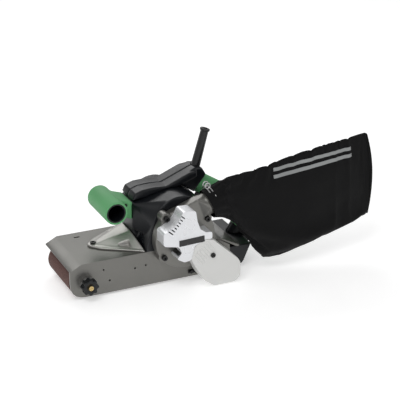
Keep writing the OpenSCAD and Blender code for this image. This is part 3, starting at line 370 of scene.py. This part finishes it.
def finished(bm, name):
    """The bmesh as a mesh, its faces turned outwards."""
    bmesh.ops.recalc_face_normals(bm, faces=bm.faces)
    mesh = bpy.data.meshes.new(name)
    bm.to_mesh(mesh)
    bm.free()
    return mesh


def applied(mesh, *modifiers):
    """The mesh after modifiers, each given as (kind, {setting: value})."""
    worker = bpy.data.objects.new("worker", mesh)
    scene.collection.objects.link(worker)
    for kind, settings in modifiers:
        modifier = worker.modifiers.new(kind.lower(), kind)
        for key, value in settings.items():
            setattr(modifier, key, value)
    graph = bpy.context.evaluated_depsgraph_get()
    result = bpy.data.meshes.new_from_object(worker.evaluated_get(graph))
    bpy.data.objects.remove(worker)
    return result


def carved(mesh, cutters):
    """The mesh less each of the cutter meshes."""
    for cutter_mesh in cutters:
        cutter = bpy.data.objects.new("cutter", cutter_mesh)
        scene.collection.objects.link(cutter)
        mesh = applied(mesh, ("BOOLEAN", {"operation": "DIFFERENCE", "solver": "EXACT",
                                          "object": cutter}))
        bpy.data.objects.remove(cutter)
    return mesh


def trigger_room():
    """A box round the trigger and the room it is pulled into."""
    along = Vector((math.cos(GRIP_SLOPE), 0, -math.sin(GRIP_SLOPE)))
    up = Vector((math.sin(GRIP_SLOPE), 0, math.cos(GRIP_SLOPE)))
    room = [(along, SLIDE_ROOM, SLIDE_ROOM), (Vector((0, 1, 0)), SLIDE_ROOM, SLIDE_ROOM),
            (up, SLIDE_ROOM, SLIDE_ROOM + TRIGGER_TRAVEL)]
    bm = bmesh.new()
    bmesh.ops.create_cube(bm, size=1.0)
    for vertex in bm.verts:
        place = Vector()
        for share, (axis, below, above) in zip(vertex.co, room):
            reach = [v.co.dot(axis) for v in nodes["trigger"].data.vertices]
            low_end = min(reach) - below
            high_end = max(reach) + above
            place += axis * (low_end + (share + 0.5) * (high_end - low_end))
        vertex.co = place
    return finished(bm, "trigger_room")


def button_room():
    """A round bar round the lock button and the room it is pressed into."""
    low_end, high_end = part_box("lock_button")
    middle = (Vector(low_end) + Vector(high_end)) / 2
    radius = (high_end[0] - low_end[0]) / 2 + SLIDE_ROOM
    ends = [Vector((middle.x, low_end[1] - BUTTON_TRAVEL - SLIDE_ROOM, middle.z)),
            Vector((middle.x, high_end[1] + SLIDE_ROOM, middle.z))]
    return tube_mesh("button_room", ends, radius, BUTTON_SIDES, (1, 0, 0))


def mould(node, voxel_mm, passes, keep):
    """Replaces a CAD node with the same shape, its edges rounded as a mould leaves them."""
    mesh = applied(
        nodes[node].data.copy(),
        ("REMESH", {"mode": "VOXEL", "voxel_size": voxel_mm * MM}),
        ("SMOOTH", {"factor": SMOOTHING, "iterations": passes}),
        ("DECIMATE", {"ratio": keep}),
    )
    if node.startswith("handle_shell"):
        mesh = carved(mesh, [trigger_room(), button_room()])
    mesh.name = node + "_moulded"
    add_piece(node + "_moulded", mesh, nodes[node]["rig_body"], node_slot[node], [node])


# ---------- swept tubes ----------


def smooth_path(points, steps):
    """A Catmull-Rom curve through the points."""
    points = [Vector(p) for p in points]
    padded = [2 * points[0] - points[1]] + points + [2 * points[-1] - points[-2]]
    path = []
    for a, b, c, d in zip(padded, padded[1:], padded[2:], padded[3:]):
        for i in range(steps):
            t = i / steps
            path.append(0.5 * (2 * b + (c - a) * t + (2 * a - 5 * b + 4 * c - d) * t * t
                               + (3 * b - a - 3 * c + d) * t * t * t))
    return path + [points[-1]]


def tube_mesh(name, path, radius, sides, side_axis=(0, 1, 0)):
    """A closed tube along a path; radius is a number or a function of the share along it."""
    bm = bmesh.new()
    rings = []
    last = len(path) - 1
    for i, point in enumerate(path):
        along = (path[min(i + 1, last)] - path[max(i - 1, 0)]).normalized()
        across = (Vector(side_axis) - along * along.dot(Vector(side_axis))).normalized()
        up = along.cross(across)
        r = radius(i / last) if callable(radius) else radius
        rings.append([bm.verts.new(point + r * (across * math.cos(a) + up * math.sin(a)))
                      for a in (2 * math.pi * k / sides for k in range(sides))])
    for low, high in zip(rings, rings[1:]):
        for k in range(sides):
            bm.faces.new((low[k], low[(k + 1) % sides], high[(k + 1) % sides], high[k]))
    bm.faces.new(reversed(rings[0]))
    bm.faces.new(rings[-1])
    return finished(bm, name)


# ---------- dust bag ----------

# The plane between the bag's two faces, in millimetres
BAG_Y = -75.0
# Stations from the neck to the rear seam, in millimetres:
# top x and z, bottom x and z, thickness, and how far the middle bows to the rear
BAG_STATIONS = [
    (85.9, 157.4, 102.7, 111.2, 48.8, 0), (104.7, 164.2, 118.5, 108.5, 49.5, 0),
    (118, 170, 130.5, 103.5, 50, 0), (134, 175.5, 144.5, 92.5, 48, 0),
    (153.5, 179, 161, 69, 46, 0), (178, 180, 180, 40, 47, 0),
    (203, 184.5, 198, 21.5, 46, 0), (230, 191, 226, 23.5, 45, 0),
    (262, 197, 256, 30, 44, 0), (295, 202, 288, 38, 42, 0), (327, 205.5, 322, 48, 37, 2),
    (352, 209, 352, 55.5, 29, 4), (372, 213, 378, 61.5, 18, 7), (383, 214.5, 391, 66, 9, 9),
    (388, 212, 396, 69.5, 4, 10),
]
# Points round a ring, and rings from one station to the next
BAG_RING = 64
BAG_STEPS = 8
# The share of the thickness that is lost towards the seams, behind the neck
BAG_FLATTEN = 0.25
# Gathers at the neck and creases over the rest; depths are in millimetres
GATHERS = 13
GATHER_PHASE = 0.8
GATHER_DEPTH = 1.7
GATHER_LIFT = 0.6
CREASE_DEPTH = 2.6
CREASE_SCALE = (0.012, 0.5, 0.03)
CREASE_SEED = Vector((3, 7, 1))
# Each is 1 / the share of the bag's length over which the neck ends, the gathers begin at
# the front, and the creases end at the rear
NECK_FADE = 2.6
GATHER_RISE = 14
CREASE_FADE = 5
# Rings held fast at the neck, and how firmly the seams behind them are held
HELD_RINGS = 12
SEAM_HOLD = 0.35
# Light cloth, grown a little so that it buckles, with slight pressure inside
CLOTH = {
    "quality": 5, "mass": 0.25, "tension_stiffness": 20, "compression_stiffness": 12,
    "bending_stiffness": 0.6, "shrink_min": -0.035, "use_pressure": True,
    "uniform_pressure_force": 1.6, "vertex_group_mass": "held",
}
GRAVITY_SHARE = 0.25
SIM_FRAMES = 18
MOVE_CAP = 11 * MM
# The piping starts at this ring of the top seam and ends by it on the lower one
PIPING_FROM = 40
PIPING_R = 1.5
PIPING_SIDES = 8
# Printed bands on the near face: start and end x and z, in millimetres
BANDS = [((212, 175), (357, 190)), ((212, 163), (359, 178))]
BAND_WIDTH = 6.0
BAND_LIFT = 0.3
BAND_T = 0.25
# Faces along and across a band
BAND_GRID = (60, 6)
# Rays towards the cloth start from here, in millimetres
BAND_RAY_Y = -300.0


def bag_section(station, along):
    """One ring of the bag, with gathers that fade out behind the neck."""
    top_x, top_z, low_x, low_z, thick, bow = station
    top = Vector((top_x, 0, top_z))
    bottom = Vector((low_x, 0, low_z))
    middle = (top + bottom) / 2
    half = (top - bottom) / 2
    neck = max(0.0, 1.0 - along * NECK_FADE)
    ring = []
    for k in range(BAG_RING):
        angle = 2 * math.pi * k / BAG_RING
        flat = 1.0 - BAG_FLATTEN * (1 - neck) * math.cos(angle) ** 2
        point = middle + half * math.cos(angle)
        point.x += bow * math.sin(angle) ** 2
        gather = (GATHER_DEPTH * neck * min(1.0, along * GATHER_RISE)
                  * math.sin(GATHERS * angle + GATHER_PHASE))
        place = Vector(c * scale for c, scale in zip((point.x, angle, point.z), CREASE_SCALE))
        crease = (CREASE_DEPTH * (1 - neck) * min(1.0, (1 - along) * CREASE_FADE)
                  * noise.noise(place + CREASE_SEED))
        point.y = BAG_Y - math.sin(angle) * (thick / 2 * flat + gather + crease)
        point += half.normalized() * gather * GATHER_LIFT * math.cos(angle)
        ring.append(point * MM)
    return ring


def bag_shell():
    """The bag as it is sewn: rings from the open neck to the closed rear seam."""
    count = (len(BAG_STATIONS) - 1) * BAG_STEPS
    bm = bmesh.new()
    rings = []
    for i in range(count + 1):
        at, part = divmod(i, BAG_STEPS)
        part /= BAG_STEPS
        a = BAG_STATIONS[at]
        b = BAG_STATIONS[min(at + 1, len(BAG_STATIONS) - 1)]
        station = [p + (q - p) * part for p, q in zip(a, b)]
        rings.append([bm.verts.new(p) for p in bag_section(station, i / count)])
    for low_ring, high_ring in zip(rings, rings[1:]):
        for k in range(BAG_RING):
            j = (k + 1) % BAG_RING
            bm.faces.new((low_ring[k], low_ring[j], high_ring[j], high_ring[k]))
    bm.faces.new(rings[-1])
    return finished(bm, "bag_cloth")


def settle_bag(mesh):
    """Lets the cloth buckle and sag a little from its sewn shape, held at its neck and seams."""
    worker = bpy.data.objects.new("bag_worker", mesh)
    scene.collection.objects.link(worker)
    start = [v.co.copy() for v in mesh.vertices]
    held = worker.vertex_groups.new(name="held")
    for i, v in enumerate(mesh.vertices):
        ring, k = divmod(i, BAG_RING)
        seam = min(k, BAG_RING - k) <= 1 or abs(k - BAG_RING // 2) <= 1
        hold = 1.0 if ring < HELD_RINGS else (SEAM_HOLD if seam else 0.0)
        held.add([i], hold, "REPLACE")
    cloth = worker.modifiers.new("cloth", "CLOTH")
    for key, value in CLOTH.items():
        setattr(cloth.settings, key, value)
    cloth.settings.effector_weights.gravity = GRAVITY_SHARE
    cloth.point_cache.frame_start = 1
    cloth.point_cache.frame_end = SIM_FRAMES
    for step in range(1, SIM_FRAMES + 1):
        scene.frame_set(step)
    graph = bpy.context.evaluated_depsgraph_get()
    moved = bpy.data.meshes.new_from_object(worker.evaluated_get(graph))
    scene.frame_set(1)
    bpy.data.objects.remove(worker)
    for vertex, was in zip(moved.vertices, start):
        shift = vertex.co - was
        if shift.length > MOVE_CAP:
            vertex.co = was + shift * (MOVE_CAP / shift.length)
    return moved


def piping_path(mesh):
    """Along the bag's top seam, down its rear seam and back along its lower seam."""
    half = BAG_RING // 2
    points = [v.co.copy() for v in mesh.vertices]
    last = points[-BAG_RING:]
    rear = [(last[k] + last[-k]) / 2 for k in range(1, half)]
    return (points[::BAG_RING][PIPING_FROM:-1] + rear
            + points[half::BAG_RING][:PIPING_FROM:-1])


def add_bag():
    """The cloth bag and its piping; gives the cloth's mesh."""
    mesh = settle_bag(bag_shell())
    piping = tube_mesh("dust_bag_seam", piping_path(mesh), PIPING_R * MM,
                       PIPING_SIDES)
    mesh = applied(mesh, ("SUBSURF", {"levels": 1, "render_levels": 1}))
    cloth = add_piece("dust_bag_cloth", mesh, "dust_bag", "bag_cloth", ["dust_bag"])
    add_piece("dust_bag_seam", piping, "dust_bag", "bag_cloth")
    return mesh


def band_on_bag(bag_mesh, name, start, end):
    """A printed band on the bag's near face, laid just over the cloth."""
    tree = BVHTree.FromPolygons([v.co for v in bag_mesh.vertices],
                                [p.vertices for p in bag_mesh.polygons])
    a, b = (Vector((x * MM, BAND_RAY_Y * MM, z * MM)) for x, z in (start, end))
    across = Vector((0, 1, 0)).cross((b - a).normalized()) * BAND_WIDTH * MM
    columns, rows = BAND_GRID
    bm = bmesh.new()
    grid = []
    for i in range(columns + 1):
        line = []
        for j in range(rows + 1):
            origin = a + (b - a) * i / columns + across * (j / rows - 0.5)
            hit = tree.ray_cast(origin, Vector((0, 1, 0)))[0]
            line.append(bm.verts.new(hit - Vector((0, BAND_LIFT * MM, 0))))
        grid.append(line)
    for low_line, high_line in zip(grid, grid[1:]):
        for j in range(rows):
            bm.faces.new((low_line[j], high_line[j], high_line[j + 1], low_line[j + 1]))
    mesh = applied(finished(bm, name), ("SOLIDIFY", {"thickness": BAND_T * MM, "offset": 0.0}))
    add_piece(name, mesh, "dust_bag", "bag_cloth", finish="bag_print")


# ---------- rear grip ----------

# Along the grip's middle from its upper end, round the bend and down, in millimetres
GRIP_PATH = [(105, 147.3), (130, 131.4), (160, 112.3), (184, 97), (198, 88.1), (206.8, 81.6),
             (209.6, 77.2), (206.6, 72), (199.9, 63.1), (192.2, 52.2), (189, 47.6)]
GRIP_STEPS = 10
GRIP_SIDES = 56
GRIP_R = 16.9
CUFF_R = 17.5
CUFF_FROM = 0.9
CUFF_RISE = 0.03


def grip_radius(share):
    """The grip's radius along its length, with a fuller cuff at its lower end."""
    rise = min(1.0, max(0.0, (share - CUFF_FROM) / CUFF_RISE))
    return (GRIP_R + (CUFF_R - GRIP_R) * rise) * MM


def add_rear_grip():
    """The soft grip over the bent bar of the rear handle, with a slot for the trigger."""
    path = smooth_path([(x * MM, 0, z * MM) for x, z in GRIP_PATH], GRIP_STEPS)
    mesh = carved(tube_mesh("rear_grip", path, grip_radius, GRIP_SIDES), [trigger_room()])
    add_piece("rear_grip_soft", mesh, "frame", "soft_green", ["rear_grip"])


# ---------- tension spring ----------

SPRING_TURNS = 7
SPRING_WIRE = 0.8 * MM
WIRE_SIDES = 10
TURN_STEPS = 24


def add_tension_spring():
    """A coil between the frame's beam and the yoke."""
    low_end, high_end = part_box("tension_spring")
    middle = (Vector(low_end) + Vector(high_end)) / 2
    radius = (high_end[2] - low_end[2]) / 2 - SPRING_WIRE
    length = high_end[0] - low_end[0] - 2 * SPRING_WIRE
    steps = SPRING_TURNS * TURN_STEPS
    path = []
    for i in range(steps + 1):
        angle = 2 * math.pi * i / TURN_STEPS
        path.append(Vector((low_end[0] + SPRING_WIRE + length * i / steps,
                            middle.y + radius * math.cos(angle),
                            middle.z + radius * math.sin(angle))))
    mesh = tube_mesh("tension_spring_coil", path, SPRING_WIRE, WIRE_SIDES, (1, 0, 0))
    coil = add_piece("tension_spring_coil", mesh, "frame", "steel", ["tension_spring"])
    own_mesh(coil)


# ---------- build ----------

for name in nodes:
    paint(nodes[name], node_slot[name])
    if name not in MOULDED:
        soften(name, EDGE_MM.get(name, EDGE_OTHER_MM))
for name, (voxel, passes, keep) in MOULDED.items():
    mould(name, voxel, passes, keep)
add_rear_grip()
add_tension_spring()
bag = add_bag()
for number, (start, end) in enumerate(BANDS):
    band_on_bag(bag, "bag_band_%d" % number, start, end)

add_camera()
add_studio()
add_floor()
